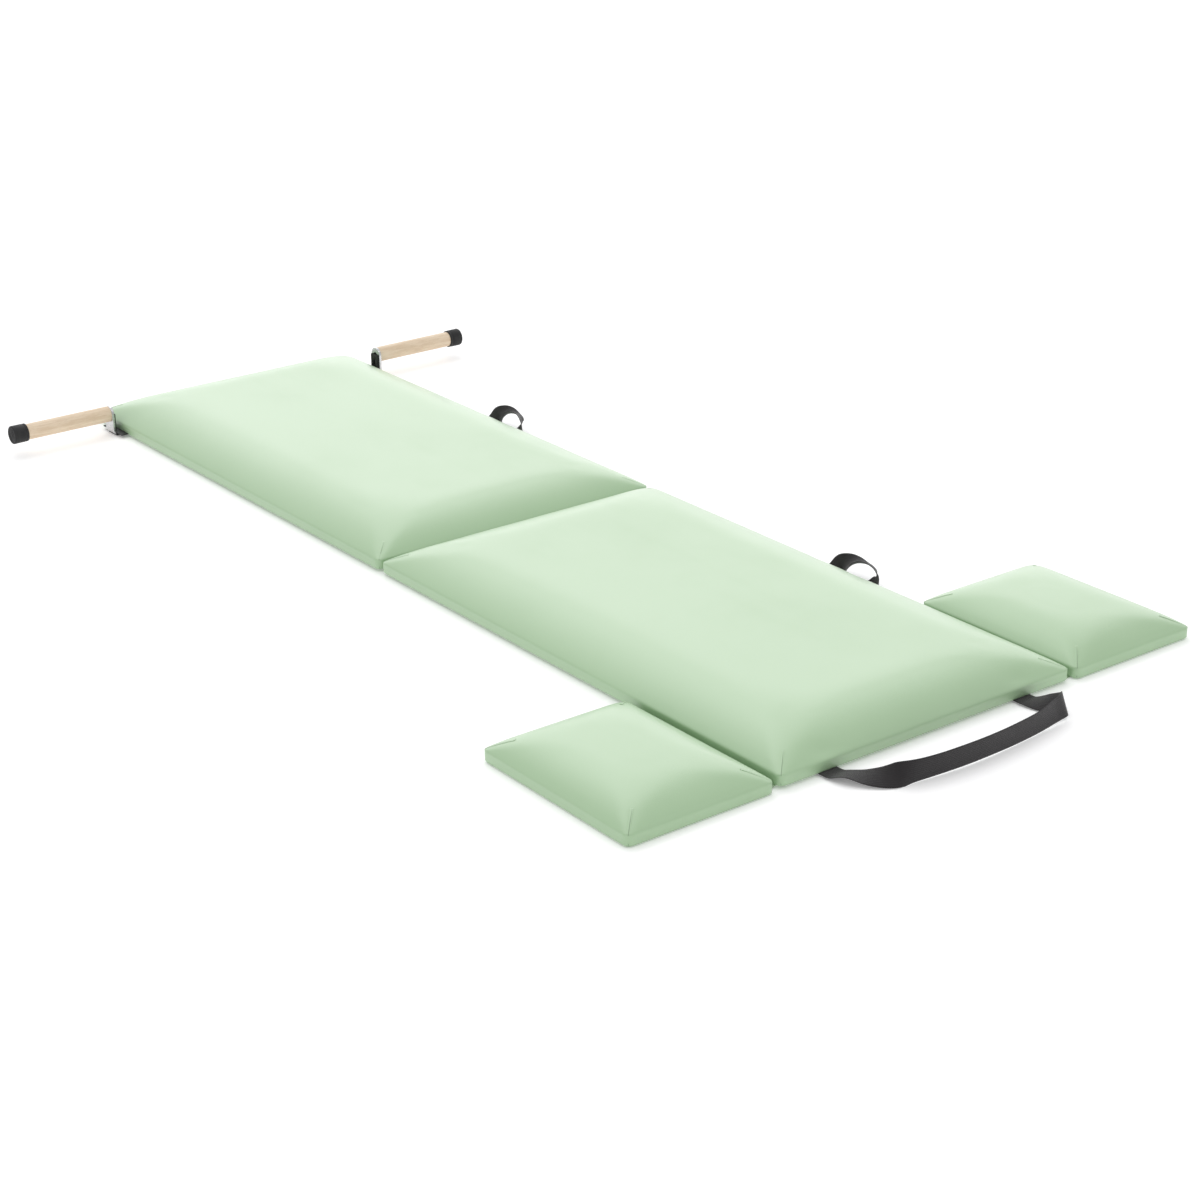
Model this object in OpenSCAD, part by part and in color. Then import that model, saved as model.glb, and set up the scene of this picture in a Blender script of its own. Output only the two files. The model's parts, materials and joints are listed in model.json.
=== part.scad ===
// Folding exercise mat: two hinged padded panels, two fold-under leg wings,
// a pair of pull-out dowel handles, a foot strap and two carry loops.
// Length runs along Y (foot end towards -Y), width along X, up is +Z.
// The origin is on the floor, under the middle of the whole mat.

/* [Panels] */
// Width of each main panel (24 in)
panel_w = 610; // [560:5:660]
// Length of each main panel (42 in)
panel_l = 1067; // [980:1:1150]
// Gap between the two main panels at the fold
fold_gap = 8; // [6:1:12]
// Plywood thickness (3/4 in)
ply_t = 18; // [15:1:21]
// Height of the foam crown above the plywood, vinyl included
panel_crown = 40; // [30:1:50]
// How far in from the edge the main panels reach full height
panel_slope = 130; // [90:5:160]

/* [Wings] */
// Width of each leg wing
wing_w = 272; // [240:1:278]
// Length of each leg wing
wing_l = 353; // [300:1:400]
// Gap between a wing and the foot panel
wing_gap = 12; // [10:1:16]
// How far the wings stand forward of the foot panel
wing_lead = 3; // [0:1:6]
// Height of the foam crown on a wing
wing_crown = 33; // [25:1:40]
// How far in from the edge the wings reach full height
wing_slope = 95; // [70:5:110]

/* [Upholstery] */
// Vinyl thickness
skin = 1; // [0.8:0.1:1.4]
// Corner radius of the panels and wings
corner_r = 12; // [8:1:18]
// Width of vinyl turned under the plywood
turn_under = 30; // [25:1:36]

/* [Clearances] */
// Height of the rubber feet under the main panels
foot_h = 4.5; // [4.5:0.1:6]
// Thickness of the rubber dots under the wings
dot_h = 1.5; // [1.5:0.1:1.7]

/* [Handles] */
// Dowel diameter (1-1/4 in)
dowel_d = 32; // [30:0.5:34]
// Dowel length
dowel_l = 212; // [180:1:240]
// Height of the dowel axis above the floor
dowel_z = 44; // [42:0.5:46]
// Distance from the fold line to the dowel axis
handle_y = 986; // [900:1:1000]
// Thickness of the steel bracket bar
bar_t = 5; // [4:0.5:5]
// Width of the steel bracket bar
bar_w = 32; // [30:1:34]

/* [Webbing] */
// Webbing width
web_w = 38; // [30:1:40]
// Webbing thickness
web_t = 1.6; // [1.2:0.1:1.6]
// How far the foot strap reaches beyond the foot end
strap_reach = 113; // [100:1:140]

/* [Hidden] */
$fn = 48;

vinyl_green = "#cfe6ca";
foam_grey = "#c9c9c4";
ply_tan = "#c9a877";
cloth_black = "#2b2a2c";
web_black = "#232123";
rubber_black = "#1d1d1e";
steel_bright = "#c4c6c8";
steel_black = "#2a2a2b";
maple = "#d8b98f";

// Heights
band_h = ply_t + skin;
panel_z = foot_h;
wing_z = dot_h;

// The fold line sits this far along Y, so that the origin is under the middle of the mat
head_end = fold_gap / 2 + panel_l;
foot_end = -head_end;
fold_y = strap_reach / 2;

// Wing hinge lines, beside the foot panel and just under the wings
wing_hinge_x = panel_w / 2 + wing_gap / 2;
wing_x = panel_w / 2 + wing_gap + wing_w / 2;
wing_y = foot_end - wing_lead + wing_l / 2;
panel_y = fold_gap / 2 + panel_l / 2;

// Flaps: webbing-backed vinyl, stapled under the edges
flap_t = 0.8;
flap_reach = 40;
flap_clear = 0.3;
fold_flap_inset = 25;
wing_flap_inset = 15;
wing_flap_bend = 1;

// Crown profile: one minus a power of the distance left to the flat top
crown_power = 2.4;
crown_steps = [0, 0.04, 0.1, 0.18, 0.3, 0.46, 0.68, 1];
slab = 0.05;

// Gap between the turned-under vinyl and the underlay that fills in between it
underlay_gap = 0.2;

// Rubber feet under the main panels, as distances from the panel's middle
foot_r = 14;
foot_feet_at = [[-255, 423], [255, 423], [-255, -146], [255, -146], [0, -500]];
head_feet_at = [[-255, -423], [255, -423], [-255, 60], [255, 60], [-120, 500], [120, 500]];
foot_screw_r = 2;
foot_screw_head_r = 4;
foot_screw_l = 20;
foot_screw_head_h = 1.7;
foot_screw_sink = 2.2;

// Rubber dots under the wings, as distances from the wing's middle
dot_r = 10;
dots_at = [[-80, -140], [80, -140], [-80, 140], [80, 140]];

// Staples along the turned-under vinyl
staple_w = 10;
staple_wire = 0.7;
staple_leg = 8;
staple_pitch = 60;
staple_inset = 20;

// Webbing tails, their clamp plates and screws
tail_l = 70;
plate_w = 44;
plate_l = 22;
plate_t = 1.2;
plate_screw_r = 2;
plate_screw_head_r = 3.6;
plate_screw_head_h = 1.1;
plate_screw_in = 14;
plate_screw_gap = 26;
strap_roots = [-210, 198];
loop_root_gap = 92;
head_loop_y = 497;
foot_loop_y = -548;

// Strap rows: centre point, then the direction across the webbing.
// Foot strap, from its left root round to its right root; Y counts outwards from the foot end.
strap_rows = [
    [-210, 2, 3.7, 1, 0, 0],
    [-209, 17, 4.6, 0.98, -0.15, 0],
    [-203, 36, 10.5, 0.87, -0.48, -0.1],
    [-189, 59, 10.5, 0.72, -0.65, 0.2],
    [-170, 82, 13.5, 0.7, -0.35, 0.6],
    [-144, 99, 19.2, 0.37, 0.02, 0.93],
    [-98, 107, 20, 0, 0.1, 1],
    [-43, 111, 20.5, 0, 0.1, 1],
    [13, 111, 20.5, 0, 0.1, 1],
    [70, 107, 20, 0, 0.06, 1],
    [127, 100, 20, 0, 0, 1],
    [173, 91, 22, -0.1, -0.17, 0.98],
    [202, 84, 22.5, -0.15, -0.28, 0.94],
    [207, 63, 15, 0.6, -0.4, 0.68],
    [201, 39, 9.5, 0.85, -0.4, 0.34],
    [198, 16, 4.8, 1, -0.05, 0.05],
    [198, 2, 3.7, 1, 0, 0]
];
// Carry loops: X counts outwards from the panel's side, Y from the loop's middle
head_loop_rows = [
    [2, 46, 3.7, 0, 1, 0],
    [11, 46, 5, 0, 1, 0.05],
    [20, 45, 12, 0.05, 0.98, 0.2],
    [25, 38, 20, 0.1, 0.8, 0.6],
    [26, 24, 27, 0.4, 0.45, 0.75],
    [26, 8, 33, 0.8, 0.2, 0.45],
    [26, -10, 38, 0.97, 0.05, -0.2],
    [26, -26, 40, 0.85, 0.1, -0.5],
    [25, -39, 36, 0.7, 0.55, -0.45],
    [23, -46, 26, 0.6, 0.78, -0.2],
    [18, -47, 13, 0.35, 0.93, 0],
    [10, -46, 5, 0, 1, 0],
    [2, -46, 3.7, 0, 1, 0]
];
foot_loop_rows = [
    [2, 46, 3.7, 0, 1, 0],
    [11, 46, 5, 0, 1, 0.05],
    [20, 46, 11, 0.05, 0.98, 0.2],
    [25, 41, 17.5, 0.1, 0.85, 0.5],
    [26, 28, 23.5, 0.45, 0.5, 0.65],
    [26, 11, 30, 0.85, 0.25, 0.3],
    [26, -8, 36, 0.97, 0.05, -0.25],
    [26, -26, 39, 0.85, 0.1, -0.5],
    [26, -42, 35, 0.7, 0.55, -0.45],
    [25, -51, 25, 0.6, 0.78, -0.2],
    [19, -50, 13, 0.35, 0.93, 0],
    [10, -47, 5, 0, 1, 0],
    [2, -46, 3.7, 0, 1, 0]
];
strap_steps = 60;
loop_steps = 40;
// The free webbing starts this far outside the edge, and the tail ends just short of it
loop_start = 2;
tail_gap = 0.3;
// Reach of the foot strap's rows as written; strap_reach scales them from this
rows_reach = 113;

// Handle bracket, its receiver and the dowel's fittings
receiver_z = 0.6;
receiver_wall = 1;
slot_play = 0.2;
slot_h = bar_t + 2 * slot_play;
slot_w = bar_w + 2 * slot_play;
receiver_h = slot_h + 2 * receiver_wall;
receiver_in = 160;
receiver_out = 15;
flange_w = 80;
flange_t = 2;
receiver_screw_r = 2;
receiver_screw_head_r = 4;
receiver_screw_head_h = 1.2;
receiver_screw_in = 12;
receiver_screw_inset = 20;
receiver_screw_edge = 9;
pocket_play = 1;
bar_z = receiver_z + receiver_wall + slot_play;
bar_in = 190;
upright_gap = 0.6;
upright_x = panel_w / 2 + receiver_out + upright_gap;
bumper_t = 3.5;
bumper_w = 28;
bumper_z = [8.8, 46];
cap_d = 37;
cap_l = 31;
cap_end = 2.5;
cap_play = 0.1;
dowel_screw_r = 3;
dowel_screw_head_r = 6;
dowel_screw_l = 55;
csk_depth = 3;
hole_play = 0.1;

// ---- Shapes shared by several pieces ----

// Corner points of a rectangle with round corners
function round_rect(w, l, r, steps = 6) = [
    for (corner = [[1, 1, 0], [-1, 1, 90], [-1, -1, 180], [1, -1, 270]])
        for (k = [0 : steps])
            let (a = corner[2] + 90 * k / steps)
                [corner[0] * (w / 2 - r) + r * cos(a), corner[1] * (l / 2 - r) + r * sin(a)]
];

// Share of the full crown height at a given share of the slope
function crown_rise(s) = 1 - pow(1 - s, crown_power);

module rounded_slab(w, l, r, h) {
    linear_extrude(h) polygon(round_rect(w, l, r));
}

// Pillow crown that starts from the full outline and levels off towards the middle
module crown(w, l, h, slope, r) {
    hull()
        for (s = crown_steps)
            translate([0, 0, max(0, h * crown_rise(s) - slab)])
                rounded_slab(w - 2 * s * slope, l - 2 * s * slope, r + 0.75 * s * slope, slab);
}

// Crown and straight band together, as the vinyl's outside or, inset by a skin, as its inside
module padded_block(w, l, h, slope, inset) {
    translate([0, 0, inset])
        rounded_slab(w - 2 * inset, l - 2 * inset, corner_r - inset, band_h - inset + slab);
    translate([0, 0, band_h])
        crown(w - 2 * inset, l - 2 * inset, h - inset, slope - inset, corner_r - inset);
}

module cover(w, l, h, slope) {
    color(vinyl_green)
        difference() {
            padded_block(w, l, h, slope, 0);
            padded_block(w, l, h, slope, skin);
            translate([0, 0, -1])
                rounded_slab(w - 2 * turn_under, l - 2 * turn_under, corner_r, skin + 2);
        }
}

module foam_pad(w, l, h, slope) {
    color(foam_grey)
        translate([0, 0, band_h])
            crown(w - 2 * skin, l - 2 * skin, h - skin, slope - skin, corner_r - skin);
}

module plywood(w, l) {
    color(ply_tan)
        translate([0, 0, skin])
            rounded_slab(w - 2 * skin, l - 2 * skin, corner_r - skin, ply_t);
}

module underlay(w, l) {
    color(cloth_black)
        rounded_slab(w - 2 * (turn_under + underlay_gap), l - 2 * (turn_under + underlay_gap), corner_r, skin);
}

// One staple, its crown along X and pressed flush into the vinyl
module staple() {
    translate([-staple_w / 2, -staple_wire / 2, 0])
        cube([staple_w, staple_wire, staple_wire]);
    for (side = [-1, 1])
        translate([side * (staple_w - staple_wire) / 2 - staple_wire / 2, -staple_wire / 2, 0])
            cube([staple_wire, staple_wire, staple_leg]);
}

// Staples in a row of the given length, centred on the origin
module staple_row(length) {
    count = floor(length / staple_pitch);
    for (i = [0 : count])
        translate([(i - count / 2) * staple_pitch, 0, 0])
            staple();
}

// Staples round the underside of a panel or wing
module staple_ring(w, l) {
    color(steel_bright) {
        for (side = [-1, 1]) {
            translate([0, side * (l / 2 - staple_inset), 0])
                staple_row(w - 4 * staple_inset);
            translate([side * (w / 2 - staple_inset), 0, 0])
                rotate([0, 0, 90])
                    staple_row(l - 4 * staple_inset);
        }
    }
}

// ---- Where things stand ----

module at_fold() {
    translate([0, fold_y, 0]) children();
}

module at_foot_panel() {
    at_fold() translate([0, -panel_y, panel_z]) children();
}

module at_head_panel() {
    at_fold() translate([0, panel_y, panel_z]) children();
}

module at_wing(side) {
    at_fold() translate([side * wing_x, wing_y, wing_z]) children();
}

// ---- Screws ----

// Pan-head wood screw pointing up, head below the origin
module wood_screw(r, head_r, head_h, length) {
    color(steel_bright) {
        translate([0, 0, -head_h]) cylinder(r = head_r, h = head_h);
        cylinder(r = r, h = length);
    }
}

module pilot_hole(r, length) {
    translate([0, 0, -panel_z - 1])
        cylinder(r = r + hole_play, h = length + panel_z + 1 + hole_play);
}

// Places a screw or a hole at every foot of a panel
module at_feet(feet) {
    for (p = feet)
        translate([p[0], p[1], 0]) children();
}

// The two screw places on each clamp plate, across the plate
module at_plate_screws() {
    for (side = [-1, 1])
        translate([side * plate_screw_gap / 2, 0, 0]) children();
}

// Clamp plate places: under the foot end, and under the right side of a panel
module at_strap_plates() {
    for (x = strap_roots)
        at_fold() translate([x, foot_end + tail_l - plate_l, panel_z]) children();
}

module at_loop_plates(loop_y) {
    for (side = [-1, 1])
        at_fold() translate([panel_w / 2 - tail_l + plate_l, loop_y + side * loop_root_gap / 2, panel_z])
            rotate([0, 0, 90])
                children();
}

// The four screws that hold a receiver, measured from the handle's line
module at_receiver_screws(side) {
    for (x = [receiver_in + receiver_screw_inset, panel_w / 2 - receiver_screw_inset], dy = [-1, 1])
        at_fold()
            translate([
                side * x,
                handle_y + dy * (flange_w / 2 - receiver_screw_edge),
                receiver_z + receiver_h - flange_t
            ])
                children();
}

module all_plate_holes() {
    for (loop_y = [head_loop_y, foot_loop_y])
        at_loop_plates(loop_y) at_plate_screws() pilot_hole(plate_screw_r, plate_screw_in);
    at_strap_plates() at_plate_screws() pilot_hole(plate_screw_r, plate_screw_in);
}

// Room for a receiver and its bar in the plywood, the vinyl and the underlay
module receiver_pocket(side) {
    at_fold()
        translate([
            side > 0 ? receiver_in - pocket_play : -panel_w / 2 - pocket_play,
            handle_y - flange_w / 2 - pocket_play,
            0
        ])
            cube([
                panel_w / 2 - receiver_in + 2 * pocket_play,
                flange_w + 2 * pocket_play,
                receiver_z + receiver_h + hole_play
            ]);
}

// ---- Foot panel ----

module foot_base() {
    difference() {
        at_foot_panel() plywood(panel_w, panel_l);
        at_foot_panel() at_feet(foot_feet_at) pilot_hole(foot_screw_r, foot_screw_l - foot_h);
        all_plate_holes();
    }
}

module foot_pad() {
    at_foot_panel() foam_pad(panel_w, panel_l, panel_crown, panel_slope);
}

module foot_cover() {
    at_foot_panel() cover(panel_w, panel_l, panel_crown, panel_slope);
}

module foot_underlay() {
    difference() {
        at_foot_panel() underlay(panel_w, panel_l);
        at_foot_panel() at_feet(foot_feet_at) pilot_hole(foot_screw_r, foot_screw_l);
        all_plate_holes();
    }
}

// Rubber foot with a counterbored screw hole
module rubber_foot() {
    color(rubber_black)
        translate([0, 0, -foot_h])
            difference() {
                cylinder(r = foot_r, h = foot_h);
                translate([0, 0, -1]) cylinder(r = foot_screw_head_r + hole_play, h = foot_screw_sink + 1);
                cylinder(r = foot_screw_r + hole_play, h = foot_h + 1);
            }
}

// Screw up through a rubber foot, its head inside the counterbore
module foot_screw() {
    translate([0, 0, foot_screw_sink - foot_h])
        wood_screw(foot_screw_r, foot_screw_head_r, foot_screw_head_h, foot_screw_l - foot_screw_sink);
}

module foot_feet() {
    at_foot_panel() at_feet(foot_feet_at) rubber_foot();
}

module foot_feet_screws() {
    at_foot_panel() at_feet(foot_feet_at) foot_screw();
}

module foot_staples() {
    at_foot_panel() staple_ring(panel_w, panel_l);
}

// ---- Head panel ----

module head_base() {
    difference() {
        at_head_panel() plywood(panel_w, panel_l);
        at_head_panel() at_feet(head_feet_at) pilot_hole(foot_screw_r, foot_screw_l - foot_h);
        all_plate_holes();
        for (side = [-1, 1]) {
            receiver_pocket(side);
            at_receiver_screws(side) pilot_hole(receiver_screw_r, flange_t + receiver_screw_in);
        }
    }
}

module head_pad() {
    at_head_panel() foam_pad(panel_w, panel_l, panel_crown, panel_slope);
}

module head_cover() {
    difference() {
        at_head_panel() cover(panel_w, panel_l, panel_crown, panel_slope);
        for (side = [-1, 1]) receiver_pocket(side);
    }
}

module head_underlay() {
    difference() {
        at_head_panel() underlay(panel_w, panel_l);
        at_head_panel() at_feet(head_feet_at) pilot_hole(foot_screw_r, foot_screw_l);
        all_plate_holes();
        for (side = [-1, 1]) receiver_pocket(side);
    }
}

module head_feet() {
    at_head_panel() at_feet(head_feet_at) rubber_foot();
}

module head_feet_screws() {
    at_head_panel() at_feet(head_feet_at) foot_screw();
}

module head_staples() {
    difference() {
        at_head_panel() staple_ring(panel_w, panel_l);
        for (side = [-1, 1])
            at_fold()
                translate([
                    side > 0 ? receiver_in : -panel_w / 2,
                    handle_y - flange_w / 2 - staple_w,
                    0
                ])
                    cube([panel_w / 2 - receiver_in, flange_w + 2 * staple_w, 2 * ply_t]);
    }
}

// ---- Fold flap: one strip of webbing-backed vinyl, bent at the fold line ----

module fold_flap_half(side) {
    color(vinyl_green)
        at_fold()
            translate([-panel_w / 2 + fold_flap_inset, side > 0 ? flap_clear / 2 : -flap_reach, panel_z - flap_t])
                cube([panel_w - 2 * fold_flap_inset, flap_reach - flap_clear / 2, flap_t]);
}

module fold_flap_foot_half() {
    fold_flap_half(-1);
}

module fold_flap_head_half() {
    fold_flap_half(1);
}

// ---- Wings ----

module wing_base(side) {
    at_wing(side) plywood(wing_w, wing_l);
}

module wing_pad(side) {
    at_wing(side) foam_pad(wing_w, wing_l, wing_crown, wing_slope);
}

module wing_cover(side) {
    at_wing(side) cover(wing_w, wing_l, wing_crown, wing_slope);
}

module wing_underlay(side) {
    at_wing(side) underlay(wing_w, wing_l);
}

module wing_dots(side) {
    color(rubber_black)
        at_wing(side)
            for (p = dots_at)
                translate([p[0], p[1], -dot_h]) cylinder(r = dot_r, h = dot_h);
}

module wing_staples(side) {
    at_wing(side) staple_ring(wing_w, wing_l);
}

// Flap from under the foot panel down to the wing's hinge line
module wing_flap_panel_half(side) {
    edge = panel_w / 2;
    bend = edge + wing_flap_bend;
    line_x = wing_hinge_x - flap_clear / 2;
    color(vinyl_green)
        at_fold()
            translate([0, wing_y + wing_l / 2 - wing_flap_inset, 0])
                mirror([side > 0 ? 0 : 1, 0, 0])
                    rotate([90, 0, 0])
                        linear_extrude(wing_l - 2 * wing_flap_inset)
                            polygon([
                                [edge - flap_reach, panel_z - flap_t], [bend, panel_z - flap_t],
                                [line_x, wing_z - flap_t], [line_x, wing_z],
                                [bend, panel_z], [edge - flap_reach, panel_z]
                            ]);
}

module wing_flap_wing_half(side) {
    start_x = wing_hinge_x + flap_clear / 2;
    end_x = panel_w / 2 + wing_gap + flap_reach;
    color(vinyl_green)
        at_fold()
            translate([side > 0 ? start_x : -end_x, wing_y - wing_l / 2 + wing_flap_inset, wing_z - flap_t])
                cube([end_x - start_x, wing_l - 2 * wing_flap_inset, flap_t]);
}

// ---- Webbing ----

function lerp(a, b, s) = a + (b - a) * s;
function unit(v) = v / norm(v);

// Catmull-Rom value between rows 1 and 2 of four
function spline(p, s) =
    0.5 * (2 * p[1] + (p[2] - p[0]) * s + (2 * p[0] - 5 * p[1] + 4 * p[2] - p[3]) * s * s
        + (3 * p[1] - p[0] - 3 * p[2] + p[3]) * s * s * s);

// A row at share t of the whole list, end rows repeated
function row_at(rows, t) =
    let (n = len(rows) - 1, u = min(t * n, n - 0.0001), i = floor(u))
        spline([rows[max(i - 1, 0)], rows[i], rows[i + 1], rows[min(i + 2, n)]], u - i);

function centre_of(row) = [row[0], row[1], row[2]];
function across(row) = unit([row[3], row[4], row[5]]);

// The four corners of the webbing's cross-section at share t
function web_ring(rows, t, dt) =
    let (
        row = row_at(rows, t),
        c = centre_of(row),
        along = centre_of(row_at(rows, min(t + dt, 1))) - centre_of(row_at(rows, max(t - dt, 0))),
        side = across(row),
        face = unit(cross(along, side))
    )
        [for (k = [[-1, -1], [1, -1], [1, 1], [-1, 1]]) c + side * k[0] * web_w / 2 + face * k[1] * web_t / 2];

// Flat webbing swept along its rows
module webbing(rows, steps) {
    points = [for (i = [0 : steps]) each web_ring(rows, i / steps, 0.2 / steps)];
    sides = [
        for (i = [0 : steps - 1], k = [0 : 3])
            let (a = 4 * i + k, b = 4 * i + (k + 1) % 4)
                each [[a, b, b + 4], [a, b + 4, a + 4]]
    ];
    last = 4 * steps;
    ends = [[3, 2, 1, 0], [last, last + 1, last + 2, last + 3]];
    color(web_black) polyhedron(points, concat(sides, ends));
}

module foot_strap() {
    rows = [for (r = strap_rows) [r[0], foot_end + fold_y - r[1] * strap_reach / rows_reach, r[2], r[3], -r[4], r[5]]];
    webbing(rows, strap_steps);
}

module carry_loop(loop_rows, loop_y) {
    rows = [for (r = loop_rows) [panel_w / 2 + r[0], loop_y + fold_y + r[1], r[2], r[3], r[4], r[5]]];
    webbing(rows, loop_steps);
}

// Flat tail in its plate's frame: it runs from just outside the edge, at -Y, to past the plate
module tail() {
    color(web_black)
        translate([-web_w / 2, plate_l - tail_l - loop_start + tail_gap, -web_t])
            cube([web_w, tail_l + loop_start - tail_gap, web_t]);
}

module clamp_plate() {
    color(steel_bright)
        difference() {
            translate([-plate_w / 2, -plate_l / 2, -web_t - plate_t])
                cube([plate_w, plate_l, plate_t]);
            at_plate_screws() pilot_hole(plate_screw_r, 0);
        }
}

module plate_screw() {
    translate([0, 0, -web_t - plate_t])
        wood_screw(plate_screw_r, plate_screw_head_r, plate_screw_head_h, plate_screw_in + web_t + plate_t);
}

module foot_strap_tails() {
    difference() {
        at_strap_plates() tail();
        all_plate_holes();
    }
}

module foot_strap_plates() {
    at_strap_plates() clamp_plate();
}

module foot_strap_screws() {
    at_strap_plates() at_plate_screws() plate_screw();
}

module loop_tails(loop_y) {
    difference() {
        at_loop_plates(loop_y) tail();
        all_plate_holes();
    }
}

module loop_plates(loop_y) {
    at_loop_plates(loop_y) clamp_plate();
}

module loop_screws(loop_y) {
    at_loop_plates(loop_y) at_plate_screws() plate_screw();
}

// ---- Handles ----

// Mirrors a right-hand piece over to the left
module on_side(side) {
    mirror([side > 0 ? 0 : 1, 0, 0]) children();
}

module at_handle(side) {
    at_fold() on_side(side) translate([0, handle_y, 0]) children();
}

// Black steel sleeve, let into the underside, that the handle's bar slides in
module receiver(side) {
    length = panel_w / 2 + receiver_out - receiver_in;
    color(steel_black)
        difference() {
            at_handle(side) {
                translate([receiver_in, -slot_w / 2 - receiver_wall, receiver_z])
                    cube([length, slot_w + 2 * receiver_wall, receiver_h]);
                translate([receiver_in, -flange_w / 2, receiver_z + receiver_h - flange_t])
                    cube([length, flange_w, flange_t]);
            }
            at_handle(side)
                translate([receiver_in - 1, -slot_w / 2, receiver_z + receiver_wall])
                    cube([length + 2, slot_w, slot_h]);
            at_receiver_screws(side) pilot_hole(receiver_screw_r, flange_t);
        }
}

module receiver_screws(side) {
    at_receiver_screws(side)
        wood_screw(receiver_screw_r, receiver_screw_head_r, receiver_screw_head_h,
            flange_t + receiver_screw_in);
}

// Horizontal cylinder along X, on the dowel's axis
module along_dowel(x, r1, r2, length) {
    translate([x, 0, dowel_z])
        rotate([0, 90, 0])
            cylinder(r1 = r1, r2 = r2, h = length);
}

// L-shaped steel bar: its leg slides in the receiver, its round-topped upright carries the dowel
module handle_bracket(side) {
    color(steel_bright)
        at_handle(side)
            difference() {
                union() {
                    translate([bar_in, -bar_w / 2, bar_z])
                        cube([upright_x + bar_t - bar_in, bar_w, bar_t]);
                    translate([upright_x, -bar_w / 2, bar_z])
                        cube([bar_t, bar_w, dowel_z - bar_z]);
                    along_dowel(upright_x, bar_w / 2, bar_w / 2, bar_t);
                }
                along_dowel(upright_x - 1, dowel_screw_r + hole_play, dowel_screw_r + hole_play, bar_t + 2);
                along_dowel(upright_x - 0.01, dowel_screw_head_r + hole_play, dowel_screw_r + hole_play,
                    csk_depth);
            }
}

module handle_bumper(side) {
    color(rubber_black)
        at_handle(side)
            translate([upright_x - bumper_t, -bumper_w / 2, bumper_z[0]])
                cube([bumper_t, bumper_w, bumper_z[1] - bumper_z[0]]);
}

module dowel(side) {
    color(maple)
        at_handle(side)
            difference() {
                along_dowel(upright_x + bar_t, dowel_d / 2, dowel_d / 2, dowel_l);
                along_dowel(upright_x, dowel_screw_r + hole_play, dowel_screw_r + hole_play,
                    dowel_screw_l + hole_play);
            }
}

// Countersunk screw through the upright into the dowel's end
module dowel_screw(side) {
    color(steel_bright)
        at_handle(side) {
            along_dowel(upright_x, dowel_screw_head_r, dowel_screw_r, csk_depth);
            along_dowel(upright_x + csk_depth, dowel_screw_r, dowel_screw_r, dowel_screw_l - csk_depth);
        }
}

// Rubber ferrule pushed over the dowel's end
module dowel_cap(side) {
    dowel_tip = upright_x + bar_t + dowel_l;
    color(rubber_black)
        at_handle(side)
            difference() {
                along_dowel(dowel_tip + cap_end - cap_l, cap_d / 2, cap_d / 2, cap_l);
                along_dowel(dowel_tip - cap_l, dowel_d / 2 + cap_play, dowel_d / 2 + cap_play, cap_l);
            }
}

foot_base();
foot_pad();
foot_cover();
foot_underlay();
foot_feet();
foot_feet_screws();
foot_staples();
head_base();
head_pad();
head_cover();
head_underlay();
head_feet();
head_feet_screws();
head_staples();
fold_flap_foot_half();
fold_flap_head_half();
wing_base(-1);  // left_wing_base
wing_pad(-1);  // left_wing_pad
wing_cover(-1);  // left_wing_cover
wing_underlay(-1);  // left_wing_underlay
wing_dots(-1);  // left_wing_dots
wing_staples(-1);  // left_wing_staples
wing_flap_panel_half(-1);  // left_flap_panel_half
wing_flap_wing_half(-1);  // left_flap_wing_half
wing_base(1);  // right_wing_base
wing_pad(1);  // right_wing_pad
wing_cover(1);  // right_wing_cover
wing_underlay(1);  // right_wing_underlay
wing_dots(1);  // right_wing_dots
wing_staples(1);  // right_wing_staples
wing_flap_panel_half(1);  // right_flap_panel_half
wing_flap_wing_half(1);  // right_flap_wing_half
foot_strap();
foot_strap_tails();
foot_strap_plates();
foot_strap_screws();
carry_loop(head_loop_rows, head_loop_y);  // head_carry_loop
loop_tails(head_loop_y);  // head_loop_tails
loop_plates(head_loop_y);  // head_loop_plates
loop_screws(head_loop_y);  // head_loop_screws
carry_loop(foot_loop_rows, foot_loop_y);  // foot_carry_loop
loop_tails(foot_loop_y);  // foot_loop_tails
loop_plates(foot_loop_y);  // foot_loop_plates
loop_screws(foot_loop_y);  // foot_loop_screws
receiver(-1);  // left_receiver
receiver_screws(-1);  // left_receiver_screws
receiver(1);  // right_receiver
receiver_screws(1);  // right_receiver_screws
handle_bracket(-1);  // left_handle_bracket
handle_bumper(-1);  // left_handle_bumper
dowel(-1);  // left_dowel
dowel_screw(-1);  // left_dowel_screw
dowel_cap(-1);  // left_dowel_cap
handle_bracket(1);  // right_handle_bracket
handle_bumper(1);  // right_handle_bumper
dowel(1);  // right_dowel
dowel_screw(1);  // right_dowel_screw
dowel_cap(1);  // right_dowel_cap
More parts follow.
